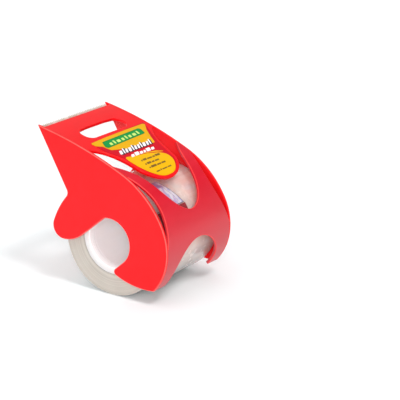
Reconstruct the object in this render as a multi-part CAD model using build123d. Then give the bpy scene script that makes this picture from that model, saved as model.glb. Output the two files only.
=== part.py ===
"""Hand-held packing-tape dispenser: a one-piece moulded shell around one roll of clear tape.

Frame: +Z up, Y along the roll's axis, +X towards the front band, the blade up at -X.
The dispenser stands on its roll; the origin is at the bottom centre of its box.
Everything is drawn about the roll's axis first and moved into that frame at the end.
Lengths are millimetres and angles are degrees.
"""
import os
from math import atan2, cos, degrees, hypot, acos, radians, sin

from build123d import *

# ---- the roll ----
TAPE_WIDTH = 47.8
CORE_BORE_R = 12.7
CORE_R = 15.85
ROLL_R = 25.85
WINDING_GAP = 0.03          # between the core and the first turn

# ---- the shell ----
WIDTH = 51.6                # over the two cheeks
CHEEK = 1.3                 # cheek thickness
WALL = 1.4                  # thickness of the crown: panel, tongue and front band
EDGE_ROUND = 0.5            # rounding of the cheeks' outer edges
HALF = WIDTH / 2
INSIDE = HALF - CHEEK       # from the middle to a cheek's inner face

# The crown is the cheeks' top edge, from the cutting tip over the top to the front foot:
# tangent arcs, each (radius, turn), a right turn being negative.
TIP = (-40.0, 48.8)
TIP_HEADING = -11.0
CROWN = [(205, -14.0), (46, -37.5), (27.5, -71.0)]

# The hub is a C-shaped boss inside each cheek, around the finger hole.
HOLE_R = 11.2
HOLE_FROM, HOLE_TO = -49, 101
HUB_R = 12.4
HUB_LENGTH = 6.0
HUB_FROM, HUB_TO = -60, 112

# The lip under the finger hole, and the edge from the hole round the lobe to the notch.
LIP_RUN = 6.0
LIP_R = 1.7
LIP_TURN = 113
BACK = [(2.2, 28), (None, 16.5), (17, -39), (6, -111), (43, -20), (3, 76)]

# ---- openings in the crown ----
# Each is drawn flat, then cut square to the crown at one place. Lengths along the crown
# count from the tip; half widths count from the middle.
PANEL_EDGE = 3.0            # the panel ends this far behind the cheeks' tips
WINDOW_AT, WINDOW_LENGTH, WINDOW_SPAN, WINDOW_CORNER = 18.4, 9.0, 30.2, 3.8
TONGUE_ROOT, TONGUE_WAIST, TONGUE_END = 29.3, 52.0, 61.2
TONGUE_WAIST_HALF = 13.9
TONGUE_FLARE = [(33.7, 19.8), (40.4, 16.4)]
HORN = 44.0                 # where the band's arms leave the cheeks
ARM_EDGE = [(50.0, 20.0), (57.0, 16.6), (70.0, 11.1), (75.5, 6.7)]
ARM_END = 78.3
SLOT_FROM, SLOT_DEEPEST, SLOT_TO = 53.0, 68.0, 91.0
SLOT_DEPTH = 3.8
ARCH_R, ARCH_AT = 17.0, 109.4

# ---- the blade ----
BLADE_TIP = 0.4            # along the crown, to the points of the teeth
BLADE_DEPTH = 10.4
BLADE_THICK = 0.4
BLADE_GAP = 0.05            # over the blade, and at its ends
TOOTH_PITCH = 1.2
TOOTH_DEPTH = 0.6
STAKE_R, STAKE_HOLE_R, STAKE_HEAD_R, STAKE_HEAD = 1.0, 1.1, 1.8, 0.6
STAKE_AT = 6.6
STAKES = 5
STAKE_SPACING = 10.4

# ---- thin layers ----
FILM = 0.12                 # the clear leader, from the roll to the teeth
FILM_LIFT = 0.5             # clear of the turning roll
LABEL = 0.12
LABEL_MARGIN = 1.6
LABEL_TOP = 24.6
LABEL_TIP_HALF, LABEL_CORNER_HALF = 18.0, 23.2
STRIP = 0.12                # printed starting strip on the roll
STRIP_LOW, STRIP_HIGH = -18.0, 4.0      # across the width
STRIP_FROM, STRIP_TO = 8, 70            # round the roll


def follow(start, heading, moves):
    """Edges of a path of straight runs (None, length) and tangent arcs (radius, turn)."""
    point = Vector(*start)
    tangent = Vector(cos(radians(heading)), sin(radians(heading)))
    edges = []
    for radius, amount in moves:
        if radius is None:
            edge = Line(point, point + tangent * amount)
        else:
            edge = JernArc(point, tangent, radius, amount)
        edges.append(edge)
        point, tangent = edge @ 1, edge % 1
    return edges


def on_crown(length, depth=0.0):
    """The point this far along the crown and this deep under it, and the heading there."""
    x, z, heading = *TIP, TIP_HEADING
    for radius, turn in CROWN:
        run = radians(-turn) * radius
        part = turn if length > run and (radius, turn) != CROWN[-1] else -degrees(length / radius)
        centre = (x + radius * sin(radians(heading)), z - radius * cos(radians(heading)))
        heading += part
        x = centre[0] - radius * sin(radians(heading))
        z = centre[1] + radius * cos(radians(heading))
        if part != turn:
            break
        length -= run
    return x + depth * sin(radians(heading)), z - depth * cos(radians(heading)), heading


def crown_plane(length):
    """A plane that touches the crown: its x runs along the crown, its y across the width."""
    x, z, heading = on_crown(length)
    slope = radians(heading)
    return Plane(origin=(x, 0, z), x_dir=(cos(slope), 0, sin(slope)), z_dir=(-sin(slope), 0, cos(slope)))


def flat(plane, length):
    """How far along a crown plane's x a length on the crown lies."""
    x, z, _ = on_crown(length)
    return plane.to_local_coords(Vector(x, 0, z)).X


def slab(face, low, high):
    """A side-view face made solid from low to high along Y."""
    return extrude(Pos(0, high, 0) * (Plane.XZ * face), amount=high - low)


def punch(plane, face, reach=9.0):
    """A cutter through the crown, square to one of its planes."""
    return extrude(plane * face, amount=reach, both=True)


def mirrored(points):
    """Both halves of an outline that is the same on each side of the middle."""
    return [(u, -v) for u, v in points] + [(u, v) for u, v in reversed(points)]


def polar(radius, angle):
    return radius * cos(radians(angle)), radius * sin(radians(angle))


def sector(inner, outer, start, end):
    """A piece of a flat ring about the roll's axis."""
    edges = [CenterArc((0, 0), inner, start, end - start), CenterArc((0, 0), outer, start, end - start)]
    edges += [Line(polar(inner, angle), polar(outer, angle)) for angle in (start, end)]
    return make_face(edges)


# ---- the shell ----
def cheek_face():
    """The side view of a cheek: crown, foot, lip, finger hole, lobe, notch and back edge."""
    crown = follow(TIP, TIP_HEADING, CROWN)
    hole_start = polar(HOLE_R, HOLE_FROM)
    lip = follow(hole_start, HOLE_FROM - 90, [(None, LIP_RUN), (LIP_R, LIP_TURN)])
    under = TangentArc(lip[-1] @ 1, crown[-1] @ 1, tangent=lip[-1] % 1)
    back = follow(hole_start, HOLE_FROM + 90, [(HOLE_R, HOLE_TO - HOLE_FROM)] + BACK)
    return make_face(crown + lip + [under] + back + [Line(back[-1] @ 1, TIP)])


def crown_band(outer_depth, inner_depth, start, end):
    """Side view of a layer of the crown between two depths and two lengths."""
    def path(depth):
        moves, done = [], 0.0
        for index, (radius, turn) in enumerate(CROWN):
            run = radians(-turn) * radius
            last = index == len(CROWN) - 1
            low = max(start, done)
            high = end if last else min(end, done + run)
            if high > low:
                moves.append((radius - depth, -degrees((high - low) / radius)))
            done += run
        x, z, heading = on_crown(start, depth)
        return follow((x, z), heading, moves)

    outer, inner = path(outer_depth), path(inner_depth)
    ends = [Line(outer[0] @ 0, inner[0] @ 0), Line(outer[-1] @ 1, inner[-1] @ 1)]
    return make_face(outer + inner + ends)


def tongue_outline(plane, margin=0.0):
    """Half of the tongue's outline down to its waist, and the arc round its end."""
    waist = TONGUE_WAIST_HALF - margin
    side = [(TONGUE_ROOT, INSIDE - margin)]
    side += [(length, half - margin) for length, half in TONGUE_FLARE]
    side += [(TONGUE_WAIST, waist)]
    side = [(flat(plane, length), half) for length, half in side]
    end = ThreePointArc((side[-1][0], -waist), (flat(plane, TONGUE_END - margin), 0), (side[-1][0], waist))
    return side, end


def window():
    plane = crown_plane(WINDOW_AT)
    return punch(plane, RectangleRounded(WINDOW_LENGTH, WINDOW_SPAN, WINDOW_CORNER))


def front_opening():
    """The opening round the tongue: from cheek to cheek, closing to a U in the band."""
    plane = crown_plane(55)
    top, horn = flat(plane, TONGUE_ROOT), flat(plane, HORN)
    arms = [(flat(plane, length), half) for length, half in ARM_EDGE]
    arms = mirrored([(horn, INSIDE)] + arms + [(flat(plane, ARM_END), 0)])
    arms.pop(len(arms) // 2)
    hole = make_face([Spline(*arms), Line(arms[-1], (top, INSIDE)), Line((top, INSIDE), (top, -INSIDE)),
                      Line((top, -INSIDE), arms[0])])
    side, end = tongue_outline(plane)
    left = Spline(*[(u, -v) for u, v in side])
    right = Spline(*side)
    tongue = make_face([left, end, right, Line(left @ 0, right @ 0)])
    return punch(plane, hole - tongue)


def side_slots():
    """A crescent slot between each arm of the band and its cheek."""
    plane = crown_plane(72)
    start, deepest, end = (flat(plane, length) for length in (SLOT_FROM, SLOT_DEEPEST, SLOT_TO))
    arm = Spline((start, INSIDE), (deepest, INSIDE - SLOT_DEPTH), (end, INSIDE))
    slot = punch(plane, make_face([arm, Line(arm @ 0, arm @ 1)]))
    return slot + mirror(slot, about=Plane.XZ)


def foot_arch():
    """The arch in the band's lower edge, between the two feet."""
    plane = crown_plane(104)
    centre = flat(plane, ARCH_AT)
    arch = Pos(centre, 0) * Circle(ARCH_R) + Pos(centre + ARCH_R / 2, 0) * Rectangle(ARCH_R, 2 * ARCH_R)
    return punch(plane, arch)


def tip_notch():
    """What the panel leaves free between the cheeks' tips."""
    plane = crown_plane(PANEL_EDGE)
    return punch(plane, Pos(-10, 0) * Rectangle(20, 2 * INSIDE), reach=4.0)


def blade_places():
    """The stakes' places across the width."""
    return [(index - (STAKES - 1) / 2) * STAKE_SPACING for index in range(STAKES)]


def blade_plane():
    """The plane of the blade's upper face, under the panel, at the stakes."""
    x, z, heading = on_crown(STAKE_AT, WALL + BLADE_GAP)
    slope = radians(heading)
    return Plane(origin=(x, 0, z), x_dir=(cos(slope), 0, sin(slope)), z_dir=(-sin(slope), 0, cos(slope)))


def stakes():
    """Moulded pins that pass through the blade, each melted to a head below it."""
    plane = blade_plane()
    pins = []
    for place in blade_places():
        pins.append(extrude(plane * (Pos(0, place) * Circle(STAKE_R)), amount=WALL / 2))
        pins.append(extrude(plane * (Pos(0, place) * Circle(STAKE_R)), amount=-BLADE_THICK - STAKE_HEAD))
        head = plane.offset(-BLADE_THICK - BLADE_GAP) * (Pos(0, place) * Circle(STAKE_HEAD_R))
        pins.append(extrude(head, amount=-STAKE_HEAD))
    return pins


def hub(side):
    """The C-shaped boss inside one cheek; side is -1 or 1."""
    low, high = sorted((side * (INSIDE - HUB_LENGTH), side * INSIDE))
    return slab(sector(HOLE_R, HUB_R, HUB_FROM, HUB_TO), low, high)


def shell():
    face = cheek_face()
    body = slab(face, INSIDE, HALF) + slab(face, -HALF, -INSIDE)
    body += slab(crown_band(0, WALL, 0, crown_length()), -INSIDE, INSIDE)
    for cutter in (tip_notch(), window(), front_opening(), side_slots(), foot_arch()):
        body -= cutter
    for side in (-1, 1):
        body += hub(side)
    for pin in stakes():
        body += pin
    outer_faces = body.faces().sort_by(Axis.Y)
    return fillet(outer_faces[0].outer_wire().edges() + outer_faces[-1].outer_wire().edges(), EDGE_ROUND)


def crown_length():
    return sum(radians(-turn) * radius for radius, turn in CROWN)


# ---- the other pieces ----
def cutter_blade():
    """A flat steel strip with a saw-toothed front edge, held by the stakes."""
    plane = blade_plane()
    front = BLADE_TIP - STAKE_AT
    half = INSIDE - BLADE_GAP
    teeth = int(2 * half / TOOTH_PITCH)
    start = -teeth * TOOTH_PITCH / 2
    edge = [(front + TOOTH_DEPTH, -half)]
    for tooth in range(teeth):
        foot = start + tooth * TOOTH_PITCH
        edge += [(front + TOOTH_DEPTH, foot), (front, foot + TOOTH_PITCH / 2)]
    edge += [(front + TOOTH_DEPTH, -start), (front + TOOTH_DEPTH, half)]
    edge += [(front + BLADE_DEPTH, half), (front + BLADE_DEPTH, -half)]
    strip = make_face(Polyline(*edge, close=True))
    for place in blade_places():
        strip -= Pos(0, place) * Circle(STAKE_HOLE_R)
    return extrude(plane * strip, amount=-BLADE_THICK)


def ring(inner, outer, width):
    return slab(Circle(outer) - Circle(inner), -width / 2, width / 2)


def tape_leader():
    """Clear film, straight from the top of the roll to the underside of the blade."""
    x, z, heading = on_crown(BLADE_TIP + 0.4, WALL + 2 * BLADE_GAP + BLADE_THICK + FILM)
    reach = ROLL_R + FILM_LIFT
    leave = degrees(atan2(z, x)) - degrees(acos(reach / hypot(x, z)))
    start = polar(reach, leave)
    length = hypot(x - start[0], z - start[1])
    ahead = degrees(atan2(z - start[1], x - start[0]))
    near = follow(start, ahead, [(None, length)])[0]
    far = follow(polar(reach + FILM, leave), ahead, [(None, length)])[0]
    face = make_face([near, far, Line(near @ 0, far @ 0), Line(near @ 1, far @ 1)])
    return slab(face, -TAPE_WIDTH / 2, TAPE_WIDTH / 2)


def start_strip():
    """A printed strip on the outside of the roll, where the tape is started."""
    return slab(sector(ROLL_R, ROLL_R + STRIP, STRIP_FROM, STRIP_TO), STRIP_LOW, STRIP_HIGH)


def front_label():
    """A printed sticker on the panel and down the tongue, following their curve."""
    plane = crown_plane(45)
    side, end = tongue_outline(plane, LABEL_MARGIN)
    left = [(flat(plane, LABEL_TOP + 1.0), -LABEL_TIP_HALF)] + [(u, -v) for u, v in side[1:]]
    right = [(flat(plane, LABEL_TOP), LABEL_CORNER_HALF)] + side[1:]
    left, right = Spline(*left), Spline(*right)
    outline = make_face([left, end, right, Line(left @ 0, right @ 0)])
    layer = slab(crown_band(-LABEL, 0, LABEL_TOP - 3, TONGUE_END + 3), -INSIDE, INSIDE)
    return layer & punch(plane, outline)


def main():
    pieces = {
        "shell": shell(),
        "cutter_blade": cutter_blade(),
        "tape_core": ring(CORE_BORE_R, CORE_R, TAPE_WIDTH),
        "tape_winding": ring(CORE_R + WINDING_GAP, ROLL_R, TAPE_WIDTH),
        "start_strip": start_strip(),
        "tape_leader": tape_leader(),
        "front_label": front_label(),
    }
    box = Compound(children=[Part() + piece for piece in pieces.values()]).bounding_box()
    place = Pos(-(box.min.X + box.max.X) / 2, 0, -box.min.Z)
    print("roll axis at X", round(place.position.X, 4), "Z", round(place.position.Z, 4))
    os.makedirs("parts", exist_ok=True)
    for name, piece in pieces.items():
        export_step(place * piece, f"parts/{name}.step")


main()
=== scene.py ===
"""The looks of the hand-held tape dispenser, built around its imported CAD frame.

Shapes are drawn in millimetres about the roll's axis, x towards the front band and z up,
and become metres in the row frame when they are made into meshes. The crown is the curved
strip of panel, tongue and front band; places on it are (length from the tip, across, depth).
"""
from math import atan2, ceil, cos, degrees, hypot, pi, radians, sin, tan

import bmesh
import bpy
import numpy as np
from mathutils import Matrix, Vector
from mathutils.geometry import tessellate_polygon


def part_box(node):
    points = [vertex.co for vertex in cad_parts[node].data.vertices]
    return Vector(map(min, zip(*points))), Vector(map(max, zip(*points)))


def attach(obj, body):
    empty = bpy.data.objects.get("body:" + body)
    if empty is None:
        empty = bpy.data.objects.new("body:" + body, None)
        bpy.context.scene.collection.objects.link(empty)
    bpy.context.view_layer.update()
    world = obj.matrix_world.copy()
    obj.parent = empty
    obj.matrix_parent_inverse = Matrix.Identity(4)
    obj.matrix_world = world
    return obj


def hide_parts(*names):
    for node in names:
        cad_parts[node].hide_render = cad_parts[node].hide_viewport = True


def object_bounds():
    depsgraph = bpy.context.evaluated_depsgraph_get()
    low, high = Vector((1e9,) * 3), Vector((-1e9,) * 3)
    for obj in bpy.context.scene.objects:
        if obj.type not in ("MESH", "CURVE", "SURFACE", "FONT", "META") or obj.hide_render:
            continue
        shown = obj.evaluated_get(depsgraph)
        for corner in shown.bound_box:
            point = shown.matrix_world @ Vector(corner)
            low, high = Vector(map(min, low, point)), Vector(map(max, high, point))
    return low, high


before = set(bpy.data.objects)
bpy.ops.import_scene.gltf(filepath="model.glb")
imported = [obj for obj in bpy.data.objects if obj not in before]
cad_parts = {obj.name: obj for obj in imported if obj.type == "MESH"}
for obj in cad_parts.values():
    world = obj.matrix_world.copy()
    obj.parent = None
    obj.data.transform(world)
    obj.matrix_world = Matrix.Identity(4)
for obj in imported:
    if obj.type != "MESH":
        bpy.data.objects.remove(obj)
CAD_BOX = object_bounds()

# ---- sizes read from the frame ----
MM = 0.001
ROLL_LOW, ROLL_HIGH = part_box("tape_winding")
AXIS = (ROLL_LOW + ROLL_HIGH) / 2
ROLL_R = (ROLL_HIGH.z - ROLL_LOW.z) / 2 / MM
TAPE_HALF = (ROLL_HIGH.y - ROLL_LOW.y) / 2 / MM
SHELL_LOW, SHELL_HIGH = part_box("shell")
HALF = (SHELL_HIGH.y - SHELL_LOW.y) / 2 / MM
CORE_LOW, CORE_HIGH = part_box("tape_core")
CORE_R = (CORE_HIGH.z - CORE_LOW.z) / 2 / MM
CORE_BORE_R = 12.7
WINDING_GAP = 0.03

# ---- the shell, as in the CAD ----
CHEEK = 1.3
WALL = 1.4
INSIDE = HALF - CHEEK
TIP = (-40.0, 48.8)
TIP_HEADING = -11.0
CROWN = [(205, -14.0), (46, -37.5), (27.5, -71.0)]
HOLE_R, HOLE_FROM, HOLE_TO = 11.2, -49, 101
HUB_R, HUB_LENGTH, HUB_FROM, HUB_TO = 12.4, 6.0, -60, 112
LIP_RUN, LIP_R, LIP_TURN = 6.0, 1.7, 113
BACK = [(2.2, 28), (None, 16.5), (17, -39), (6, -111), (43, -20), (3, 76)]
PANEL_EDGE = 3.0
WINDOW_AT, WINDOW_LENGTH, WINDOW_SPAN, WINDOW_CORNER = 18.4, 9.0, 30.2, 3.8
OPENING_AT, TONGUE_ROOT, TONGUE_WAIST, TONGUE_END = 55, 29.3, 52.0, 61.2
TONGUE_WAIST_HALF = 13.9
TONGUE_FLARE = [(33.7, 19.8), (40.4, 16.4)]
HORN = 44.0
ARM_EDGE = [(50.0, 20.0), (57.0, 16.6), (70.0, 11.1), (75.5, 6.7)]
ARM_END = 78.3
SLOT_AT, SLOT_FROM, SLOT_DEEPEST, SLOT_TO, SLOT_DEPTH = 72, 53.0, 68.0, 91.0, 3.8
FOOT_AT, ARCH_R, ARCH_AT = 104, 17.0, 109.4
FOOT_ROUND, FOOT_REACH = 1.0, 6.0

# ---- the blade and the thin layers, as in the CAD ----
BLADE_TIP, BLADE_DEPTH, BLADE_THICK, BLADE_GAP = 0.4, 10.4, 0.4, 0.05
TOOTH_PITCH, TOOTH_DEPTH = 1.2, 0.6
STAKE_R, STAKE_HOLE_R, STAKE_HEAD_R, STAKE_HEAD = 1.0, 1.1, 1.8, 0.6
STAKE_AT, STAKES, STAKE_SPACING = 6.6, 5, 10.4
LABEL, LABEL_MARGIN, LABEL_TOP = 0.12, 1.6, 24.6
LABEL_TIP_HALF, LABEL_CORNER_HALF = 18.0, 23.2
STRIP = 0.12

# ---- details that only the looks have ----
WINDOW_CROWN = 0.8          # how much its edge towards the tip bows out
WINDOW_CROWN_FLAT = 0.45    # the part of that edge's half width that stays straight
WINDOW_CROWN_R = 20.0
BLADE_LIFT = 1.3            # how much the teeth curl up
BLADE_BEND = 2.6            # the length over which they do
BLADE_RIM = [(0.22, 0.0), (0.02, 0.16), (0.0, 0.2), (0.0, BLADE_THICK - 0.06), (0.05, BLADE_THICK)]
TOOTH_BLUNT, TOOTH_WORN = 0.04, 0.03        # half the width of a tooth's point, and its wear
CHEEK_ROUNDS = (0.4, 0.2)   # at a rim's outer and inner edge
CROWN_ROUNDS = (0.3, 0.25)
HUB_ROUND, HEAD_ROUND = 0.3, 0.35
OVERLAP = 0.3               # how far a hub reaches into its cheek
PIN_IN_HEAD = 0.2
BORE_EASE, BORE_EASE_BEND, CORE_EASE = 0.45, 0.13, 0.15
GROOVES = [19.8, 21.3, 22.3]                # round the core's bore near its ends, across
GROOVE, GROOVE_WIDTH = 0.12, 0.24
TURN_STEP, TURN_UNEVEN, WINDING_EASE = 0.42, 0.03, 0.1
STRIP_LAYER = 0.01          # the print on the roll lies in layers this thick
LAYER = 0.012               # ink layers on the label lie this far over each other
LOW_BLOCK = 0.74            # the height of most blocks in a row, against its tallest

# ---- how finely things are drawn ----
ARC_STEP = 0.7              # along an arc
ARC_TURN = radians(9)       # the most that one step of an arc turns
CORNER_TURN = radians(15)   # the same in a rounded corner
CURVE_STEP = 0.6
CIRCLE_STEPS = 32
LEAST_STEP = 0.02           # points closer than this become one
CROWN_CUT = 1.0             # between the cuts that let a flat plate follow the crown
MITRE_LEAST = 0.25          # limits how far a sharp corner moves with its edges
RIM_STEPS = 3
TUCK = 0.8                  # how far the crown's plates reach into the cheeks
FLUSH = 0.02                # the crown's plates lie this much under the cheeks' top edge


# =====================================================================================
# Drawing in the plane
# =====================================================================================
def unit(angle):
    return np.array((cos(angle), sin(angle)))


def polar(radius, angle):
    return radius * unit(radians(angle))


def walk(start, heading, moves):
    """Points along straight runs (None, length) and tangent arcs (radius, turn), and the last heading."""
    points, heading = [np.array(start, float)], radians(heading)
    for radius, amount in moves:
        if radius is None:
            points.append(points[-1] + amount * unit(heading))
            continue
        turn = radians(amount)
        side = 1 if turn > 0 else -1
        centre = points[-1] + side * radius * unit(heading + pi / 2)
        steps = max(2, ceil(abs(turn) * radius / ARC_STEP), ceil(abs(turn) / ARC_TURN))
        for part in np.linspace(0, turn, steps + 1)[1:]:
            points.append(centre + side * radius * unit(heading + part - pi / 2))
        heading += turn
    return points, degrees(heading)


def arc_to(start, heading, target):
    """The tangent arc, as a (radius, turn) move, that ends at a target point."""
    chord = np.array(target) - start
    bend = atan2(chord[1], chord[0]) - radians(heading)
    bend = (bend + pi) % (2 * pi) - pi
    return hypot(*chord) / (2 * abs(sin(bend))), degrees(2 * bend)


def curve(points):
    """Points along a natural cubic spline through the given ones."""
    points = np.array(points, float)
    count = len(points)
    gaps = np.linalg.norm(np.diff(points, axis=0), axis=1)
    knots = np.concatenate(([0.0], np.cumsum(gaps)))
    system, pull = np.eye(count), np.zeros_like(points)
    for i in range(1, count - 1):
        system[i, i - 1:i + 2] = gaps[i - 1], 2 * (gaps[i - 1] + gaps[i]), gaps[i]
        pull[i] = 6 * ((points[i + 1] - points[i]) / gaps[i] - (points[i] - points[i - 1]) / gaps[i - 1])
    bend = np.linalg.solve(system, pull)
    at = np.linspace(0, knots[-1], ceil(knots[-1] / CURVE_STEP) + 1)
    i = np.clip(np.searchsorted(knots, at, "right") - 1, 0, count - 2)
    gap = gaps[i][:, None]
    after = ((at - knots[i]) / gaps[i])[:, None]
    before = 1 - after
    curved = (before ** 3 - before) * bend[i] + (after ** 3 - after) * bend[i + 1]
    return before * points[i] + after * points[i + 1] + curved * gap ** 2 / 6


def rounded(corners, radius):
    """A closed outline with its corners rounded; radius is one number or one for each corner."""
    corners = [np.array(corner, float) for corner in corners]
    radii = radius if hasattr(radius, "__len__") else [radius] * len(corners)
    points = []
    for index, (corner, size) in enumerate(zip(corners, radii)):
        back, ahead = corners[index - 1] - corner, corners[(index + 1) % len(corners)] - corner
        reach_back, reach_ahead = hypot(*back), hypot(*ahead)
        back, ahead = back / reach_back, ahead / reach_ahead
        half = np.arccos(np.clip(back @ ahead, -1, 1)) / 2
        if size <= 0 or half > radians(88):
            points.append(corner)
            continue
        cut = min(size / tan(half), 0.48 * reach_back, 0.48 * reach_ahead)
        size = cut * tan(half)
        middle = (back + ahead) / hypot(*(back + ahead))
        centre = corner + middle * size / sin(half)
        first, last = corner + back * cut - centre, corner + ahead * cut - centre
        start, sweep = atan2(first[1], first[0]), atan2(last[1], last[0]) - atan2(first[1], first[0])
        sweep = (sweep + pi) % (2 * pi) - pi
        steps = max(2, ceil(abs(sweep) * size / ARC_STEP), ceil(abs(sweep) / CORNER_TURN))
        points += [centre + size * unit(start + sweep * k / steps) for k in range(steps + 1)]
    return np.array(points)


def circle(centre, radius):
    turns = [2 * pi * k / CIRCLE_STEPS for k in range(CIRCLE_STEPS)]
    return np.array([np.array(centre) + radius * unit(turn) for turn in turns])


def mirrored(points):
    """Both halves of an outline that is the same on each side of the middle."""
    return [(u, -v) for u, v in points] + [(u, v) for u, v in reversed(points)]


def thinned(loop):
    """The closed loop without points that lie on their neighbour."""
    loop = np.array(loop, float)
    keep = np.linalg.norm(loop - np.roll(loop, 1, axis=0), axis=1) > LEAST_STEP
    return loop[keep]


# =====================================================================================
# The crown
# =====================================================================================
def crown_arcs():
    """The crown's arcs as (starting length, centre, radius, heading there), and its length."""
    arcs, point, heading, done = [], np.array(TIP), radians(TIP_HEADING), 0.0
    for radius, turn in CROWN:
        centre = point - radius * unit(heading + pi / 2)
        arcs.append((done, centre, radius, heading))
        done += radius * radians(-turn)
        heading += radians(turn)
        point = centre + radius * unit(heading + pi / 2)
    return arcs, done


CROWN_ARCS, CROWN_LENGTH = crown_arcs()


def on_crown(lengths, depths=0.0):
    """Side-view x, z and heading of places this far along the crown and this deep under it."""
    lengths = np.asarray(lengths, float)
    starts = np.array([arc[0] for arc in CROWN_ARCS])
    index = np.clip(np.searchsorted(starts, lengths, "right") - 1, 0, len(starts) - 1)
    centres = np.array([arc[1] for arc in CROWN_ARCS])[index]
    radii = np.array([arc[2] for arc in CROWN_ARCS])[index]
    headings = np.array([arc[3] for arc in CROWN_ARCS])[index] - (lengths - starts[index]) / radii
    x = centres[..., 0] - (radii - depths) * np.sin(headings)
    z = centres[..., 1] + (radii - depths) * np.cos(headings)
    return x, z, headings


def crown_place(points):
    """Puts drawn points (length, across, depth) on the crown."""
    x, z, _ = on_crown(points[:, 0], points[:, 2])
    return np.stack((x, points[:, 1], z), axis=1)


FINE_LENGTHS = np.linspace(-8, CROWN_LENGTH + 8, 2600)


def flat_lengths(at):
    """How far along the plane that touches the crown at one length each fine length lies."""
    x, z, _ = on_crown(FINE_LENGTHS)
    x0, z0, heading = on_crown(at)
    return (x - x0) * np.cos(heading) + (z - z0) * np.sin(heading)


def flat(at, length):
    return float(np.interp(length, FINE_LENGTHS, flat_lengths(at)))


def punched(at, points):
    """An outline drawn on that plane, as lengths along the crown."""
    points = np.array(points, float)
    along = flat_lengths(at)
    rising = np.argmax(along)
    points[:, 0] = np.interp(points[:, 0], along[:rising], FINE_LENGTHS[:rising])
    return points


def tongue_side(margin=0.0):
    """One side of the tongue, from its root to its waist, on the opening's plane."""
    side = [(TONGUE_ROOT, INSIDE - margin)]
    side += [(length, half - margin) for length, half in TONGUE_FLARE]
    side += [(TONGUE_WAIST, TONGUE_WAIST_HALF - margin)]
    return [(flat(OPENING_AT, length), half) for length, half in side]


def tongue_end(margin=0.0):
    """The arc round the tongue's end, from its near side to its far side."""
    waist, half = flat(OPENING_AT, TONGUE_WAIST), TONGUE_WAIST_HALF - margin
    rise = flat(OPENING_AT, TONGUE_END - margin) - waist
    radius = (rise ** 2 + half ** 2) / (2 * rise)
    reach = np.arctan2(half, radius - rise)
    centre = np.array((waist + rise - radius, 0))
    return [centre + radius * unit(angle) for angle in np.linspace(-reach, reach, 33)]


# =====================================================================================
# Meshes
# =====================================================================================
# The two edge slots hold painted highlights: paler reds on the rims' rounded edges. The band's slot holds its
# red darkened as painted shade.
PLAIN, EDGE_HIGHLIGHT, BAND, BAND_EDGE_HIGHLIGHT = range(4)       # the moulding's material slots


def wound(loop, outer):
    """The loop turned so that its material lies on its left."""
    loop = thinned(loop)
    u, v = loop[:, 0], loop[:, 1]
    area = np.sum(u * np.roll(v, -1) - np.roll(u, -1) * v)
    return loop if (area > 0) == outer else loop[::-1]


def moved_in(loop, inset):
    """The loop moved into the material that lies on its left."""
    ahead = np.roll(loop, -1, axis=0) - loop
    ahead /= np.linalg.norm(ahead, axis=1)[:, None]
    out = np.stack((ahead[:, 1], -ahead[:, 0]), axis=1)
    both = out + np.roll(out, 1, axis=0)
    square = (both ** 2).sum(axis=1) / 2
    return loop - inset * both / np.maximum(square, MITRE_LEAST)[:, None]


def rim(thickness, top_round, bottom_round, start=0.0):
    """A plate's rim as (inset, depth) steps from its top face to its bottom face."""
    turns = np.linspace(0, pi / 2, RIM_STEPS + 1)
    top = turns if top_round else turns[-1:]
    bottom = turns if bottom_round else turns[:1]
    low = start + thickness
    steps = [(top_round * (1 - sin(turn)), start + top_round * (1 - cos(turn))) for turn in top]
    steps += [(bottom_round * (1 - cos(turn)), low - bottom_round * (1 - sin(turn))) for turn in bottom]
    return steps


def filled(bm, rings, slot):
    """Faces over the area between an outline and its holes."""
    flat_rings = [[Vector((vert.co.x, vert.co.y, 0)) for vert in ring] for ring in rings]
    verts = [vert for ring in rings for vert in ring]
    for triangle in tessellate_polygon(flat_rings):
        bm.faces.new([verts[corner] for corner in triangle]).material_index = slot


def plate(bm, loops, steps, place, bent=False, edge_slot=PLAIN, face_slot=PLAIN):
    """Adds a plate to a mesh: an outline and its holes, with a shaped rim, put in place.

    A bent plate is cut across at short lengths first, so that it can follow the crown.
    The faces and the rounding at the top of the rim each get a material slot.
    """
    part = bmesh.new()
    loops = [wound(loop, index == 0) for index, loop in enumerate(loops)]
    levels = []
    for inset, depth in steps:
        rings = [moved_in(loop, inset) for loop in loops]
        levels.append([[part.verts.new((u, v, depth)) for u, v in ring] for ring in rings])
    for number, (upper, lower) in enumerate(zip(levels, levels[1:])):
        slot = edge_slot if number < RIM_STEPS else face_slot
        for high, low in zip(upper, lower):
            for index in range(len(high)):
                side = part.faces.new((high[index - 1], high[index], low[index], low[index - 1]))
                side.material_index = slot
    filled(part, levels[0], face_slot)
    filled(part, levels[-1], face_slot)
    if bent:
        lengths = [vert.co.x for vert in part.verts]
        for cut in np.arange(ceil(min(lengths)), max(lengths), CROWN_CUT):
            geometry = part.verts[:] + part.edges[:] + part.faces[:]
            bmesh.ops.bisect_plane(part, geom=geometry, dist=1e-5, plane_co=(cut, 0, 0), plane_no=(1, 0, 0))
    drawn = np.array([vert.co for vert in part.verts])
    for vert, point in zip(part.verts, place(drawn)):
        vert.co = AXIS + Vector(point) * MM
    bmesh.ops.recalc_face_normals(part, faces=part.faces[:])
    joined(bm, part)


def joined(bm, part):
    """Moves one mesh's geometry into another."""
    mesh = bpy.data.meshes.new("part")
    part.to_mesh(mesh)
    part.free()
    bm.from_mesh(mesh)
    bpy.data.meshes.remove(mesh)


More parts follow.
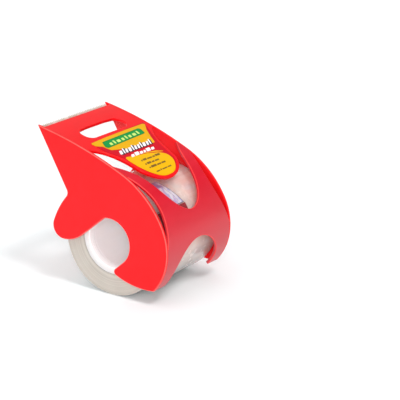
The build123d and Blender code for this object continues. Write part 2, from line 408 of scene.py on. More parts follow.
def spun(bm, outline, steps=256):
    """Adds a closed (radius, across) outline turned about the roll's axis."""
    part = bmesh.new()
    turns = [2 * pi * k / steps for k in range(steps)]
    rings = []
    for turn in turns:
        places = [Vector((r * cos(turn), y, r * sin(turn))) for r, y in outline]
        rings.append([part.verts.new(AXIS + point * MM) for point in places])
    for index in range(steps):
        here, last = rings[index], rings[index - 1]
        for k in range(len(outline)):
            part.faces.new((last[k - 1], last[k], here[k], here[k - 1]))
    bmesh.ops.recalc_face_normals(part, faces=part.faces[:])
    joined(bm, part)


def piece(name, bm, finish, body, replaced=(), sharp=35):
    """Makes a mesh into a piece that rides on a body and has a finish."""
    mesh = bpy.data.meshes.new(name)
    bm.to_mesh(mesh)
    bm.free()
    made = bpy.data.objects.new(name, mesh)
    bpy.context.scene.collection.objects.link(made)
    for one in finish if isinstance(finish, (list, tuple)) else [finish]:
        mesh.materials.append(one)
    mesh.polygons.foreach_set("use_smooth", [True] * len(mesh.polygons))
    mesh.set_sharp_from_angle(angle=radians(sharp))
    weighted = made.modifiers.new("normals", "WEIGHTED_NORMAL")
    weighted.keep_sharp = True
    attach(made, body)
    if replaced:
        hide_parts(*replaced)
    return made


# =====================================================================================
# Materials
# =====================================================================================
def finish(name, **sockets):
    """A new material, its node tree and its shader with these sockets set."""
    made = bpy.data.materials.new(name)
    made.use_nodes = True
    tree = made.node_tree
    shader = tree.nodes["Principled BSDF"]
    for socket, value in sockets.items():
        shader.inputs[socket.replace("_", " ")].default_value = value
    return made, tree, shader


def node(tree, kind, **settings):
    made = tree.nodes.new("ShaderNode" + kind)
    for key, value in settings.items():
        setattr(made, key, value)
    return made


def about_axis(tree, scale=(1, 1, 1)):
    """Coordinates in metres about the roll's axis, stretched by a scale."""
    coordinates = node(tree, "TexCoord")
    mapping = node(tree, "Mapping")
    mapping.vector_type = "POINT"
    mapping.inputs["Location"].default_value = [-place * size for place, size in zip(AXIS, scale)]
    mapping.inputs["Scale"].default_value = scale
    tree.links.new(coordinates.outputs["Object"], mapping.inputs["Vector"])
    return mapping.outputs["Vector"]


def axis_parts(tree):
    """The x, y and z in metres about the roll's axis."""
    parts = node(tree, "SeparateXYZ")
    tree.links.new(about_axis(tree), parts.inputs["Vector"])
    return parts.outputs


def noise(tree, vector, scale, detail=2.0, dimensions="3D"):
    """Noise over a vector, or over a value in one dimension."""
    made = node(tree, "TexNoise", noise_dimensions=dimensions)
    made.inputs["Scale"].default_value = scale
    made.inputs["Detail"].default_value = detail
    made.inputs["Roughness"].default_value = 0.5
    tree.links.new(vector, made.inputs["W" if dimensions == "1D" else "Vector"])
    return made.outputs["Fac"]


def ramp(tree, factor, stops, smooth=True):
    """Colours or values at places along a factor."""
    made = node(tree, "ValToRGB")
    made.color_ramp.interpolation = "EASE" if smooth else "CONSTANT"
    elements = made.color_ramp.elements
    while len(elements) < len(stops):
        elements.new(0.5)
    for element, (position, colour) in zip(elements, stops):
        element.position = position
        element.color = colour if hasattr(colour, "__len__") else (colour, colour, colour, 1)
    tree.links.new(factor, made.inputs["Fac"])
    return made.outputs["Color"]


def spread(tree, factor, low, high, from_low=0.3, from_high=0.7):
    """A factor moved to the range from low to high."""
    made = node(tree, "MapRange")
    made.inputs["From Min"].default_value = from_low
    made.inputs["From Max"].default_value = from_high
    made.inputs["To Min"].default_value = low
    made.inputs["To Max"].default_value = high
    tree.links.new(factor, made.inputs["Value"])
    return made.outputs["Result"]


def arithmetic(tree, operation, first, second=None):
    """A sum on one or two values; each is a number or a socket."""
    made = node(tree, "Math", operation=operation)
    for index, value in enumerate((first, second)):
        if value is None:
            continue
        if isinstance(value, (int, float)):
            made.inputs[index].default_value = value
        else:
            tree.links.new(value, made.inputs[index])
    return made.outputs["Value"]


def mixed(tree, factor, first, second, blend="MIX"):
    """Two colours mixed by a factor; each is a colour or a socket."""
    made = node(tree, "Mix", data_type="RGBA", blend_type=blend)
    for socket, value in zip((made.inputs[0], made.inputs[6], made.inputs[7]), (factor, first, second)):
        if isinstance(value, (int, float, tuple)):
            socket.default_value = value
        else:
            tree.links.new(value, socket)
    return made.outputs[2]


def raised(tree, shader, height, distance, strength=1.0, under=None):
    """Bumps the shader's normal by a height, on top of another bump if there is one."""
    made = node(tree, "Bump")
    made.inputs["Strength"].default_value = strength
    made.inputs["Distance"].default_value = distance
    tree.links.new(height, made.inputs["Height"])
    if under is not None:
        tree.links.new(under, made.inputs["Normal"])
    tree.links.new(made.outputs["Normal"], shader.inputs["Normal"])
    return made.outputs["Normal"]


# Heights over the roll's axis, at rest, between which a finish changes.
# Between these heights the band fades into a painted reflection of the floor.
PAINTED_HAZE_FROM, PAINTED_HAZE_TO = 24.0, -10.0
# Between these heights the tape face darkens to grey: painted shade near the floor.
PAINTED_SHADE_FROM, PAINTED_SHADE_TO = -3.0, -17.0


def red_plastic(name, low, high, painted_floor_haze=None):
    """Glossy moulded polypropylene: nearly even red, faint flow marks, fine skin.

    A part given a painted haze fades to that colour on its way down: a painted reflection of the floor.
    """
    made, tree, shader = finish(name, Specular_IOR_Level=0.24, Subsurface_Weight=0.12)
    shader.inputs["Subsurface Radius"].default_value = (1.0, 0.12, 0.06)
    shader.inputs["Subsurface Scale"].default_value = 0.8 * MM
    where = about_axis(tree)
    drift = noise(tree, where, 45, 3)
    flow = noise(tree, about_axis(tree, (1, 0.25, 1)), 260, 2)
    amount = arithmetic(tree, "MULTIPLY", arithmetic(tree, "ADD", drift, flow), 0.5)
    colour = ramp(tree, amount, [(0.3, low), (0.7, high)])
    # Painted reflection of the floor: the red turns paler and hazier towards the bottom.
    if painted_floor_haze:
        painted_haze_amount = spread(tree, axis_parts(tree)["Z"], 0.0, 1.0, PAINTED_HAZE_FROM * MM, PAINTED_HAZE_TO * MM)
        colour = mixed(tree, painted_haze_amount, colour, painted_floor_haze)
    tree.links.new(colour, shader.inputs["Base Color"])
    grain = noise(tree, where, 2600, 2)
    tree.links.new(spread(tree, drift, 0.30, 0.38), shader.inputs["Roughness"])
    waves = raised(tree, shader, noise(tree, where, 120, 1), 0.02 * MM, 0.5)
    raised(tree, shader, grain, 0.004 * MM, 0.6, waves)
    return made


def steel():
    """Rolled steel strip, brushed along its length, with a few darker spots."""
    made, tree, shader = finish("steel", Metallic=0.6, Anisotropic=0.5)
    streaks = noise(tree, about_axis(tree, (1, 0.02, 1)), 3200, 3)
    spots = noise(tree, about_axis(tree), 300, 3)
    # The warm pink of these colours is a painted reflection of the red panel over the steel's own grey.
    colour = ramp(tree, streaks, [(0.3, (0.82, 0.68, 0.61, 1)), (0.7, (0.92, 0.80, 0.72, 1))])
    tint = ramp(tree, spots, [(0.35, (0.80, 0.78, 0.72, 1)), (0.6, (1, 1, 1, 1))])
    tree.links.new(mixed(tree, 1.0, colour, tint, "MULTIPLY"), shader.inputs["Base Color"])
    tree.links.new(spread(tree, streaks, 0.34, 0.50), shader.inputs["Roughness"])
    raised(tree, shader, streaks, 0.004 * MM, 0.8)
    return made


def core_plastic():
    """The roll's white core: slightly warm, with faint turning marks, and greyer on its ends as painted
    shade.
    """
    made, tree, shader = finish("core", Roughness=0.5, Subsurface_Weight=0.6, Specular_IOR_Level=0.4)
    shader.inputs["Subsurface Radius"].default_value = (1.0, 0.95, 0.9)
    shader.inputs["Subsurface Scale"].default_value = 4 * MM
    marks = noise(tree, about_axis(tree, (1, 0.2, 1)), 500, 3)
    colour = ramp(tree, marks, [(0.3, (0.975, 0.97, 0.965, 1)), (0.7, (0.99, 0.985, 0.98, 1))])
    # Painted shade: the core's ends are greyer than its bore.
    painted_end_shade = spread(tree, from_axis(tree), 0.0, 1.0, (CORE_BORE_R + 0.2) * MM, (CORE_BORE_R + 0.6) * MM)
    tree.links.new(mixed(tree, painted_end_shade, colour, (0.73, 0.715, 0.71, 1)), shader.inputs["Base Color"])
    raised(tree, shader, marks, 0.02 * MM, 0.5)
    return made


def from_axis(tree):
    """Distance from the roll's axis, in metres."""
    parts = axis_parts(tree)
    squares = [arithmetic(tree, "MULTIPLY", parts[name], parts[name]) for name in "XZ"]
    return arithmetic(tree, "SQRT", arithmetic(tree, "ADD", *squares))


def tape_edges():
    """The side of the roll: hundreds of film edges, in fine uneven rings."""
    made, tree, shader = finish("tape_edges", Roughness=0.42, Subsurface_Weight=0.25, Specular_IOR_Level=0.45)
    shader.inputs["Subsurface Radius"].default_value = (1.0, 0.85, 0.7)
    shader.inputs["Subsurface Scale"].default_value = 1.5 * MM
    radius = from_axis(tree)
    coarse = noise(tree, radius, 900, 2, dimensions="1D")
    fine = noise(tree, radius, 7000, 2, dimensions="1D")
    patches = noise(tree, about_axis(tree), 90, 2)
    rings = arithmetic(tree, "ADD", arithmetic(tree, "MULTIPLY", coarse, 0.5),
                       arithmetic(tree, "MULTIPLY", fine, 0.3))
    rings = arithmetic(tree, "ADD", rings, arithmetic(tree, "MULTIPLY", patches, 0.2))
    colour = ramp(tree, rings, [(0.35, (0.43, 0.39, 0.345, 1)), (0.65, (0.54, 0.50, 0.445, 1))])
    tree.links.new(colour, shader.inputs["Base Color"])
    raised(tree, shader, fine, 0.03 * MM, 0.6)
    return made


def round_axis(tree):
    """The angle about the roll's axis, in turns."""
    parts = axis_parts(tree)
    angle = arithmetic(tree, "ARCTAN2", parts["Z"], parts["X"])
    return arithmetic(tree, "DIVIDE", angle, 2 * pi)


def tape_face():
    """The outside of the roll: glossy clear turns over each other, with laps and trapped air.

    It is darker and greyer towards the floor: painted shade near where the roll stands.
    """
    made, tree, shader = finish("tape_face", Specular_IOR_Level=0.4, Subsurface_Weight=0.9)
    shader.inputs["Subsurface Radius"].default_value = (1.0, 0.85, 0.7)
    shader.inputs["Subsurface Scale"].default_value = 14 * MM
    shader.inputs["Coat Weight"].default_value = 0.4
    shader.inputs["Coat Roughness"].default_value = 0.08
    bands = noise(tree, about_axis(tree, (0.25, 2, 0.25)), 90, 2)
    laps = noise(tree, round_axis(tree), 23, 0, dimensions="1D")
    steps = [(0.0, 0.0), (0.38, 0.35), (0.46, 0.7), (0.52, 0.2), (0.60, 1.0)]
    turns = ramp(tree, laps, steps, smooth=False)
    air = noise(tree, about_axis(tree), 260, 2)
    # The tape's own colour is a warm beige; the pink over it is painted light, red bounced from the shell.
    pale = mixed(tree, turns, (0.82, 0.56, 0.49, 1), (0.89, 0.68, 0.61, 1))
    cool = mixed(tree, spread(tree, bands, 0.0, 0.5), pale, (0.84, 0.77, 0.70, 1))
    smears = ramp(tree, noise(tree, about_axis(tree, (1, 0.5, 1)), 110, 2), [(0.50, 0.0), (0.70, 0.5)])
    smeared = mixed(tree, smears, cool, (0.60, 0.63, 0.66, 1))
    # Painted shade: the tape darkens to grey towards the floor, at rest.
    painted_floor_shade = spread(tree, axis_parts(tree)["Z"], 0.0, 0.8, PAINTED_SHADE_FROM * MM, PAINTED_SHADE_TO * MM)
    tree.links.new(mixed(tree, painted_floor_shade, smeared, (0.46, 0.46, 0.44, 1)), shader.inputs["Base Color"])
    tree.links.new(spread(tree, air, 0.16, 0.30), shader.inputs["Roughness"])
    raised(tree, shader, bands, 0.02 * MM, 0.4)
    return made


def clear_film():
    """One thickness of clear tape, slightly warm, with faint lengthwise streaks."""
    made, tree, shader = finish("film", Base_Color=(0.97, 0.96, 0.94, 1), Specular_IOR_Level=0.5)
    streaks = noise(tree, about_axis(tree, (0.05, 1, 0.05)), 900, 2)
    tree.links.new(spread(tree, streaks, 0.10, 0.26), shader.inputs["Roughness"])
    tree.links.new(spread(tree, streaks, 0.015, 0.045), shader.inputs["Alpha"])
    raised(tree, shader, streaks, 0.01 * MM, 0.4)
    return made


def print_film():
    """The starting strip's print: small blue and violet marks under clear film."""
    made, tree, shader = finish("strip_print", Specular_IOR_Level=0.5)
    shader.inputs["Coat Weight"].default_value = 0.5
    shader.inputs["Coat Roughness"].default_value = 0.1
    marks = noise(tree, about_axis(tree, (1, 1.6, 1)), 380, 1)
    tints = noise(tree, about_axis(tree), 160, 1)
    ink = ramp(tree, tints, [(0.40, (0.16, 0.20, 0.62, 1)), (0.60, (0.40, 0.24, 0.58, 1))])
    shown = ramp(tree, marks, [(0.44, 0.05), (0.62, 0.55)])
    colour = mixed(tree, shown, (0.74, 0.70, 0.76, 1), ink)
    tree.links.new(colour, shader.inputs["Base Color"])
    tree.links.new(spread(tree, tints, 0.2, 0.32), shader.inputs["Roughness"])
    return made


def printed(name, colour, deeper=0.93):
    """Ink on a glossy sticker: an even colour with a faint print grain."""
    made, tree, shader = finish(name, Specular_IOR_Level=0.12)
    where = about_axis(tree)
    grain = noise(tree, where, 3000, 2)
    soft = noise(tree, where, 90, 2)
    amount = arithmetic(tree, "MULTIPLY", arithmetic(tree, "ADD", grain, soft), 0.5)
    low = tuple(channel * deeper for channel in colour) + (1,)
    tree.links.new(ramp(tree, amount, [(0.35, low), (0.65, colour + (1,))]), shader.inputs["Base Color"])
    tree.links.new(spread(tree, soft, 0.28, 0.36), shader.inputs["Roughness"])
    raised(tree, shader, grain, 0.003 * MM, 0.5)
    return made


# =====================================================================================
# The shell
# =====================================================================================
def cheek_outline():
    """The side view of a cheek: crown, foot, lip, finger hole, lobe, notch and back edge."""
    crown, _ = walk(TIP, TIP_HEADING, CROWN)
    hole = polar(HOLE_R, HOLE_FROM)
    lip, heading = walk(hole, HOLE_FROM - 90, [(None, LIP_RUN), (LIP_R, LIP_TURN)])
    under, _ = walk(lip[-1], heading, [arc_to(lip[-1], heading, crown[-1])])
    back, _ = walk(hole, HOLE_FROM + 90, [(HOLE_R, HOLE_TO - HOLE_FROM)] + BACK)
    return np.array(crown + under[-2::-1] + lip[-2::-1] + back[1:])


def panel_outline():
    """The upper part of the crown: the panel between the cheeks and the tongue below it."""
    wide = INSIDE + TUCK
    side = curve(tongue_side())
    near = punched(OPENING_AT, [(u, -v) for u, v in side])
    end = punched(OPENING_AT, tongue_end())[1:-1]
    far = punched(OPENING_AT, side)[::-1]
    corners = [(PANEL_EDGE, wide), (PANEL_EDGE, -wide), (TONGUE_ROOT, -wide)]
    return np.array(corners + list(near) + list(end) + list(far) + [(TONGUE_ROOT, wide)])


def window_outline():
    """The window across the panel, with a slightly crowned edge towards the tip."""
    long, wide = WINDOW_LENGTH / 2, WINDOW_SPAN / 2
    level = WINDOW_CROWN_FLAT * wide
    corners = [(-long + WINDOW_CROWN, -wide), (-long, -level), (-long, level), (-long + WINDOW_CROWN, wide),
               (long, wide), (long, -wide)]
    radii = [WINDOW_CORNER, WINDOW_CROWN_R, WINDOW_CROWN_R, WINDOW_CORNER, WINDOW_CORNER, WINDOW_CORNER]
    return punched(WINDOW_AT, rounded(corners, radii))


def arm_edge():
    """The upper edge of the front band: a U between the two arms."""
    arms = [(flat(OPENING_AT, length), half) for length, half in ARM_EDGE]
    ends = mirrored([(flat(OPENING_AT, HORN), INSIDE)] + arms + [(flat(OPENING_AT, ARM_END), 0)])
    ends.pop(len(ends) // 2)
    return punched(OPENING_AT, curve(ends))


def slot_edge():
    """The inner edge of the crescent slot between an arm and the far cheek."""
    drawn = [(SLOT_FROM, 0), (SLOT_DEEPEST, SLOT_DEPTH), (SLOT_TO, 0)]
    return punched(SLOT_AT, curve([(flat(SLOT_AT, length), INSIDE - deep) for length, deep in drawn]))


def foot_edge():
    """The lower edge of the band: two feet and the arch between them."""
    wide = INSIDE + TUCK
    centre = flat(FOOT_AT, ARCH_AT)
    end = flat(FOOT_AT, CROWN_LENGTH)
    arch = [(centre + ARCH_R * cos(turn), ARCH_R * sin(turn)) for turn in np.linspace(pi / 2, 3 * pi / 2, 61)]
    corners = [(end - FOOT_REACH, wide), (end, wide), (end, ARCH_R), (centre, ARCH_R)]
    far = rounded(corners, [0, 0, FOOT_ROUND, 0])[1:-1]
    near = [(u, -v) for u, v in far][::-1]
    return punched(FOOT_AT, list(far) + arch + near)


def band_outline():
    """The lower part of the crown: the arms, the band and its feet."""
    wide = INSIDE + TUCK
    slot = slot_edge()
    far = [(HORN, wide), (SLOT_FROM, wide)] + list(slot) + [(SLOT_TO, wide)]
    near = [(u, -v) for u, v in far][::-1]
    return np.array(far + list(foot_edge()) + near + list(arm_edge()))


def cheek_place(side):
    """Puts a drawn side view (x, z, depth from the outer face) on one cheek."""
    def place(points):
        return np.stack((points[:, 0], side * (HALF - points[:, 2]), points[:, 1]), axis=1)
    return place


def hub_outline():
    """The C-shaped boss round the finger hole, a hair outside the hole's own edge."""
    turns = np.linspace(HUB_FROM, HUB_TO, 70)
    inner = [polar(HOLE_R + FLUSH, turn) for turn in turns]
    outer = [polar(HUB_R, turn) for turn in turns[::-1]]
    return np.array(inner + outer)


def blade_place(points):
    """Puts drawn points (along, across, depth) on the blade, whose teeth curl up."""
    x, z, heading = on_crown(STAKE_AT, WALL + BLADE_GAP)
    origin, across = np.array((x, 0, z)), np.array((0, 1, 0))
    along, out = np.array((cos(heading), 0, sin(heading))), np.array((-sin(heading), 0, cos(heading)))
    past_bend = np.clip((BLADE_TIP - STAKE_AT + BLADE_BEND - points[:, :1]) / BLADE_BEND, 0, 1)
    rise = BLADE_LIFT * past_bend ** 2 - points[:, 2:]
    return origin + points[:, :1] * along + points[:, 1:2] * across + rise * out


def stake_places():
    return [(index - (STAKES - 1) / 2) * STAKE_SPACING for index in range(STAKES)]


def make_shell(finishes):
    """Both cheeks, the crown, the hubs and the stakes: one moulding, with painted highlights at its rounded
    edges.

    The front band has a finish of its own: a darker red as painted shade, fading lower down into a painted
    reflection of the floor.
    """
    bm = bmesh.new()
    outline = cheek_outline()
    for side in (-1, 1):
        place = cheek_place(side)
        plate(bm, [outline], rim(CHEEK, *CHEEK_ROUNDS), place, edge_slot=EDGE_HIGHLIGHT)
        plate(bm, [hub_outline()], rim(HUB_LENGTH + OVERLAP, 0.0, HUB_ROUND, CHEEK - OVERLAP), place)
    edge = rim(WALL, *CROWN_ROUNDS, FLUSH)
    plate(bm, [panel_outline(), window_outline()], edge, crown_place, bent=True)
    plate(bm, [band_outline()], edge, crown_place, bent=True, edge_slot=BAND_EDGE_HIGHLIGHT, face_slot=BAND)
    for across in stake_places():
        pin = circle((0, across), STAKE_R)
        head = circle((0, across), STAKE_HEAD_R)
        plate(bm, [pin], rim(WALL / 2 + BLADE_THICK + PIN_IN_HEAD, 0.0, 0.0, -WALL / 2), blade_place)
        plate(bm, [head], rim(STAKE_HEAD, 0.0, HEAD_ROUND, BLADE_THICK + BLADE_GAP), blade_place)
    return piece("shell_moulding", bm, finishes, "dispenser", ["shell"])


# =====================================================================================
# The other pieces
# =====================================================================================
def make_blade(finish_used):
    """The toothed strip, ground thinner along its teeth."""
    front, half = BLADE_TIP - STAKE_AT, INSIDE - BLADE_GAP
    back, root, point = front + BLADE_DEPTH, front + TOOTH_DEPTH, front + TOOTH_WORN
    teeth = int(2 * half / TOOTH_PITCH)
    start = -teeth * TOOTH_PITCH / 2
    edge = [(root, -half)]
    for tooth in range(teeth):
        foot = start + tooth * TOOTH_PITCH
        middle = foot + TOOTH_PITCH / 2
        edge += [(root, foot), (point, middle - TOOTH_BLUNT), (point, middle + TOOTH_BLUNT)]
    edge += [(root, -start), (root, half), (back, half), (back, -half)]
    holes = [circle((0, across), STAKE_HOLE_R) for across in stake_places()]
    bm = bmesh.new()
    plate(bm, [edge] + holes, BLADE_RIM, blade_place, bent=True)
    return piece("blade", bm, finish_used, "dispenser", ["cutter_blade"], sharp=25)


def make_core(finish_used):
    """The hollow core with its bore's edges eased, and fine grooves just inside them."""
    side = TAPE_HALF
    outline = [(CORE_BORE_R, side - BORE_EASE), (CORE_BORE_R + BORE_EASE_BEND, side - BORE_EASE_BEND),
               (CORE_BORE_R + BORE_EASE, side), (CORE_R - CORE_EASE, side), (CORE_R, side - CORE_EASE)]
    outline += [(radius, -across) for radius, across in reversed(outline)]
    deep = CORE_BORE_R + GROOVE
    for at in GROOVES[::-1] + [-at for at in GROOVES]:
        groove = [(CORE_BORE_R, -GROOVE_WIDTH), (deep, -GROOVE), (deep, GROOVE), (CORE_BORE_R, GROOVE_WIDTH)]
        outline += [(radius, offset - at) for radius, offset in groove]
    bm = bmesh.new()
    spun(bm, outline)
    return piece("core", bm, finish_used, "roll", ["tape_core"])


def make_winding(edges, face):
    """The turns of tape: sides in uneven steps of a few hundredths, a smooth outside."""
    random = np.random.default_rng(7)
    corner = ROLL_R - WINDING_EASE
    radii = np.arange(CORE_R + WINDING_GAP, corner, TURN_STEP)
    far = [(radius, TAPE_HALF - abs(random.normal(0, TURN_UNEVEN))) for radius in radii]
    far += [(corner, TAPE_HALF), (ROLL_R, TAPE_HALF - WINDING_EASE)]
    near = [(ROLL_R, -TAPE_HALF + WINDING_EASE), (corner, -TAPE_HALF)]
    near += [(radius, -TAPE_HALF + abs(random.normal(0, TURN_UNEVEN))) for radius in radii[::-1]]
    bm = bmesh.new()
    spun(bm, far + near, 320)
    made = piece("winding", bm, [edges, face], "roll", ["tape_winding"], sharp=60)
    limit = (ROLL_R - 0.6 * WINDING_EASE) * MM
    for polygon in made.data.polygons:
        centre = polygon.center - AXIS
        polygon.material_index = int(hypot(centre.x, centre.z) > limit)
    return made


def roll_place(points):
    """Puts drawn points (length round the roll, across, depth under the strip's top) on the roll."""
    turn = points[:, 0] / ROLL_R
    radius = ROLL_R + STRIP - points[:, 2]
    return np.stack((radius * np.cos(turn), points[:, 1], radius * np.sin(turn)), axis=1)


def on_roll(corners):
    """An outline on the roll's outside; its corners are given as (degrees, across)."""
    return rounded([(radians(turn) * ROLL_R, across) for turn, across in corners], 0.15)


# The start of the tape, as (degrees round the roll, across) corners: its print, and a dark red block at its
# end. Each shape has its name, corners, layers under the strip's top, and ink.
STRIP_MARKS = [(36.9, -14.5), (36.9, 2.9), (53.4, 0.0), (69.5, -2.4), (69.5, -14.5)]
STRIP_LINE = [(36.9, 2.9), (36.9, 3.2), (53.4, 0.3), (69.5, -2.1), (69.5, -2.4), (53.4, 0.0)]
STRIP_SECOND_LINE = [(37.2, 0.9), (37.2, 1.1), (53.4, -1.7), (60.0, -2.7), (60.0, -2.9), (53.4, -1.9)]
STRIP_CROSS_LINE = [(36.2, -17.5), (36.2, 3.6), (36.9, 3.6), (36.9, -17.5)]
STRIP_PATCH = [(60.0, -14.0), (60.0, -2.9), (69.0, -4.0), (69.0, -14.0)]
STRIP_END = [(10.0, -17.5), (10.0, 3.9), (35.4, 3.9), (35.4, -17.5)]
STRIP_SHAPES = [("marks", STRIP_MARKS, 3, "marks"), ("patch", STRIP_PATCH, 2, "violet"),
                ("line", STRIP_LINE, 1, "line"), ("second_line", STRIP_SECOND_LINE, 1, "line"),
                ("cross_line", STRIP_CROSS_LINE, 1, "line"), ("end", STRIP_END, 2, "block")]


def make_strip(finishes):
    """The start of the tape: printed marks, a violet patch and dark lines, and a dark red block at its end.
    """
    for name, corners, level, ink in STRIP_SHAPES:
        depth = level * STRIP_LAYER
        bm = bmesh.new()
        layer = rim(STRIP - depth - STRIP_LAYER, 0.0, 0.0, depth)
        plate(bm, [on_roll(corners)], layer, roll_place, bent=True)
        made = piece(f"start_strip_{name}", bm, finishes[ink], "roll")
        if name == "marks":
            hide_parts("start_strip")


# ---- the label ----
def label_outline():
    """The sticker: across the panel's lower edge and down the tongue."""
    side = tongue_side(LABEL_MARGIN)
    left = curve([(flat(OPENING_AT, LABEL_TOP + 1), -LABEL_TIP_HALF)] + [(u, -v) for u, v in side[1:]])
    right = curve([(flat(OPENING_AT, LABEL_TOP), LABEL_CORNER_HALF)] + side[1:])
    return punched(OPENING_AT, list(left) + tongue_end(LABEL_MARGIN)[1:-1] + list(right[::-1]))


def inked(name, outline, level, ink):
    """A thin printed shape on the label, some layers up."""
    bm = bmesh.new()
    top = -(LABEL + level * LAYER)
    plate(bm, [outline], [(0.0, top), (0.0, top + 0.8 * LAYER)], crown_place, bent=True)
    return piece(name, bm, ink, "dispenser")


def block(start, end, height, slant):
    """A slanted block between two (length, across) ends of its middle line."""
    start, end = np.array(start, float), np.array(end, float)
    up = np.array((-height / 2, slant / 2))
    return rounded([start + up, end + up, end - up, start - up], height * 0.16)


def row_of_blocks(start, end, shares, height, slant=0.0, gap=0.35):
    """Blocks that share a row's length between them, with small gaps; every third one is taller."""
    start, end = np.array(start, float), np.array(end, float)
    reach = hypot(*(end - start))
    along = (end - start) / reach
    free = reach - gap * (len(shares) - 1)
    done, blocks = 0.0, []
    for index, share in enumerate(shares):
        size = free * share / sum(shares)
        tall = height if index % 3 == 1 else LOW_BLOCK * height
        drop = np.array((height - tall, -slant * (1 - tall / height))) / 2
        blocks.append(block(start + along * done + drop, start + along * (done + size) + drop, tall, slant))
        done += size + gap
    return blocks


# Rows of plain blocks where print would be: name, start, end, shares, height, slant, gap, level, ink.
TITLE = (4, 2, 3, 4, 2, 3, 3, 2, 4, 3, 2)
ROWS = [
    ("banner_block", (30.5, -10.4), (29.8, 12.4), (3, 2, 4, 3, 2, 3, 4, 2), 2.5, 0.6, 1.3, 4, "pale_yellow"),
    ("title_shadow", (38.1, -11.5), (38.5, 11.6), TITLE, 3.9, 2.1, 0.45, 4, "black"),
    ("title_block", (37.7, -12.1), (38.1, 11.1), TITLE, 3.5, 1.9, 0.75, 5, "white"),
    ("subtitle_block", (42.1, -8.7), (42.4, 8.5), (3, 4, 3, 2, 4, 3), 2.2, 1.3, 0.6, 5, "white"),
    ("line_1_block", (47.0, -7.2), (47.2, 6.9), (1, 3, 4, 2, 4), 1.25, 0.4, 0.45, 2, "brown"),
    ("line_2_block", (49.8, -7.6), (49.8, 2.8), (1, 3, 2, 3), 1.25, 0.4, 0.45, 2, "brown"),
    ("line_3_block", (52.4, -7.6), (52.3, 4.8), (1, 4, 3, 3), 1.25, 0.4, 0.45, 2, "brown"),
    ("foot_block", (55.8, -6.2), (55.6, 5.4), (3, 1, 4, 3), 0.95, 0.25, 0.45, 2, "brown"),
]

# The label's colour zones, as (length along the crown, across) corners.
UPPER_ZONE = [
    (26.0, -19.4), (25.5, -8.0), (25.3, 8.0), (25.4, 21.6), (26.4, 22.2), (30.0, 18.6), (35.6, 14.9),
    (39.7, 12.9), (39.2, 8.3), (37.7, -3.8), (34.6, -14.2), (32.4, -15.2), (30.6, -15.6), (28.8, -18.6),
]
LOWER_ZONE_TOP = [(41.7, -13.0), (43.0, -6.8), (44.2, 0.6)]
LOWER_ZONE_END = [
    (46.1, 7.0), (48.8, 10.3), (52.3, 10.5), (56.1, 8.2), (58.6, 5.0), (59.6, 0.3), (59.0, -4.7),
    (56.5, -8.5), (52.5, -11.5), (48.1, -12.9), (44.4, -13.4),
]
STRIPE = [(42.9, -3.6), (43.4, 0.6), (44.6, 7.2), (46.7, 11.5), (46.3, 9.4), (44.9, 5.0), (43.8, 0.6)]
BANNER = [(27.7, -12.7), (27.3, 16.6), (32.0, 15.1), (32.8, -15.7)]
BANNER_BORDER = 0.45


def make_label(inks):
    """The sticker with its colour zones, and plain blocks where print would be."""
    bm = bmesh.new()
    plate(bm, [label_outline()], rim(LABEL, 0.03, 0.0, -LABEL), crown_place, bent=True)
    piece("label_base", bm, inks["red"], "dispenser", ["front_label"])
    inked("label_upper_zone", rounded(UPPER_ZONE, 1.2), 1, inks["yellow"])
    lower = LOWER_ZONE_TOP + list(curve(LOWER_ZONE_END))
    inked("label_lower_zone", rounded(lower, 1.2), 1, inks["bright_yellow"])
    inked("label_stripe", rounded(STRIPE, 0.2), 1, inks["bright_yellow"])
    inked("label_banner_edge", rounded(BANNER, 1.3), 2, inks["deep_green"])
    banner = moved_in(wound(BANNER, True), BANNER_BORDER)
    inked("label_banner", rounded(banner, 1.0), 3, inks["green"])
    for name, start, end, shares, height, slant, gap, level, ink in ROWS:
        for index, outline in enumerate(row_of_blocks(start, end, shares, height, slant, gap)):
            inked(f"label_{name}_{index + 1}", outline, level, inks[ink])


# =====================================================================================
# Camera, floor and light
# =====================================================================================
CAMERA_FROM_AXIS = Vector((427.25, -580.58, 246.40))
CAMERA_FORWARD = Vector((-0.5353, 0.7865, -0.3080))
CAMERA_LENS, SENSOR = 147.4, 36.0
FLOOR_R, FLOOR_UNDER = 12.0, 0.0001             # in metres
HORIZON_LEVEL, ZENITH_LEVEL = 1.0, 0.38
DIM_SIDE, DIM_LEVEL = (0.75, 0.66, 0.0), 0.2    # the sweep is dimmer on this side
# Each sun's name, the direction towards it, its level and its width in degrees.
SUNS = [
    ("overhead", (0.0, 0.0, 1.0), 0.28, 70),
    ("key", (0.50, -0.15, 0.85), 0.33, 14),
    ("front", (0.52, -0.78, 0.34), 0.47, 20),
]


def make_camera():
    data = bpy.data.cameras.new("camera")
    data.lens, data.sensor_width = CAMERA_LENS, SENSOR
    data.clip_start, data.clip_end = 0.01, 50.0
    camera = bpy.data.objects.new("camera", data)
    camera.location = AXIS + CAMERA_FROM_AXIS * MM
    camera.rotation_euler = CAMERA_FORWARD.to_track_quat("-Z", "Y").to_euler()
    bpy.context.scene.collection.objects.link(camera)
    bpy.context.scene.camera = camera


def make_floor():
    """A wide pale floor just under the roll."""
    bm = bmesh.new()
    bmesh.ops.create_circle(bm, cap_ends=True, radius=FLOOR_R, segments=96)
    mesh = bpy.data.meshes.new("floor")
    bm.to_mesh(mesh)
    bm.free()
    made, tree, shader = finish("floor_paint", Roughness=0.9, Specular_IOR_Level=0.1)
    cloud = noise(tree, node(tree, "TexCoord").outputs["Object"], 3, 2)
    tree.links.new(ramp(tree, cloud, [(0.3, (0.92, 0.96, 0.97, 1)), (0.7, (0.94, 0.98, 0.99, 1))]),
                   shader.inputs["Base Color"])
    mesh.materials.append(made)
    floor = bpy.data.objects.new("floor", mesh)
    floor.location.z = CAD_BOX[0].z - FLOOR_UNDER
    bpy.context.scene.collection.objects.link(floor)


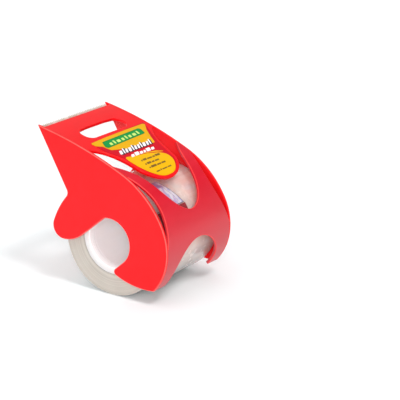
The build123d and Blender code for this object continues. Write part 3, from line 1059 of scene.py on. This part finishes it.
def soft_sun(name, towards, level, width):
    """Even light from one direction, as soft as a source this many degrees wide.

    Its level is the brightness that it gives to a white surface that faces it.
    """
    data = bpy.data.lights.new(name, "SUN")
    data.energy, data.angle = level * pi, radians(width)
    light = bpy.data.objects.new(name, data)
    light.rotation_euler = Vector(towards).to_track_quat("Z", "Y").to_euler()
    bpy.context.scene.collection.objects.link(light)


def make_sky():
    """A white studio sweep: bright near the horizon, dimmer overhead and on one side."""
    world = bpy.data.worlds.new("studio")
    bpy.context.scene.world = world
    world.use_nodes = True
    tree = world.node_tree
    direction = node(tree, "TexCoord").outputs["Generated"]
    parts = node(tree, "SeparateXYZ")
    tree.links.new(direction, parts.inputs["Vector"])
    height = spread(tree, parts.outputs["Z"], HORIZON_LEVEL, ZENITH_LEVEL, 0.0, 1.0)
    facing = node(tree, "VectorMath", operation="DOT_PRODUCT")
    facing.inputs[1].default_value = DIM_SIDE
    tree.links.new(direction, facing.inputs[0])
    side = spread(tree, facing.outputs["Value"], 1.0, DIM_LEVEL, -0.2, 0.9)
    background = tree.nodes["Background"]
    background.inputs["Color"].default_value = (1, 1, 1, 1)
    tree.links.new(arithmetic(tree, "MULTIPLY", height, side), background.inputs["Strength"])


def make_light():
    make_sky()
    for sun in SUNS:
        soft_sun(*sun)
    bpy.context.scene.view_settings.view_transform = "Standard"


# =====================================================================================
# Everything together
# =====================================================================================
# The moulding's reds in the order of its slots: name, darkest, lightest and, if any, the colour of a painted
# reflection of the floor.
REDS = [
    ("red_plastic", (0.83, 0.0020, 0.0055, 1), (0.88, 0.0038, 0.0080, 1)),
    # Pale pink: painted highlights on the rounded edges.
    ("red_edges", (0.92, 0.085, 0.075, 1), (0.96, 0.125, 0.11, 1)),
    # The band's red is darker than the rest as painted shade; its last colour is the painted reflection of
    # the floor.
    ("red_band", (0.62, 0.007, 0.022, 1), (0.68, 0.011, 0.029, 1), (0.61, 0.066, 0.080, 1)),
    # A paler band red: painted highlights on the band's rounded edges.
    ("red_band_edges", (0.84, 0.040, 0.040, 1), (0.90, 0.070, 0.065, 1)),
]


def main():
    make_camera()
    make_floor()
    make_light()
    make_shell([red_plastic(*red) for red in REDS])
    make_blade(steel())
    make_core(core_plastic())
    make_winding(tape_edges(), tape_face())
    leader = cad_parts["tape_leader"].data
    leader.materials.clear()
    leader.materials.append(clear_film())
    make_strip({
        "marks": print_film(),
        "violet": printed("strip_violet", (0.46, 0.30, 0.58), deeper=0.8),
        "line": printed("strip_line", (0.22, 0.20, 0.26)),
        # A dark red block on the strip's end, where the roll looks dark red, made with the same finish as the
        # print.
        "block": printed("strip_block", (0.33, 0.045, 0.055)),
    })
    make_label({
        "red": printed("ink_red", (0.62, 0.002, 0.014)),
        "yellow": printed("ink_yellow", (0.80, 0.42, 0.001)),
        "bright_yellow": printed("ink_bright_yellow", (0.86, 0.465, 0.001)),
        "pale_yellow": printed("ink_pale_yellow", (0.62, 0.84, 0.20)),
        "green": printed("ink_green", (0.003, 0.30, 0.055)),
        "deep_green": printed("ink_deep_green", (0.004, 0.20, 0.04)),
        "white": printed("ink_white", (0.93, 0.90, 0.92)),
        "black": printed("ink_black", (0.03, 0.02, 0.03), deeper=0.8),
        "brown": printed("ink_brown", (0.22, 0.12, 0.02), deeper=0.8),
    })


main()
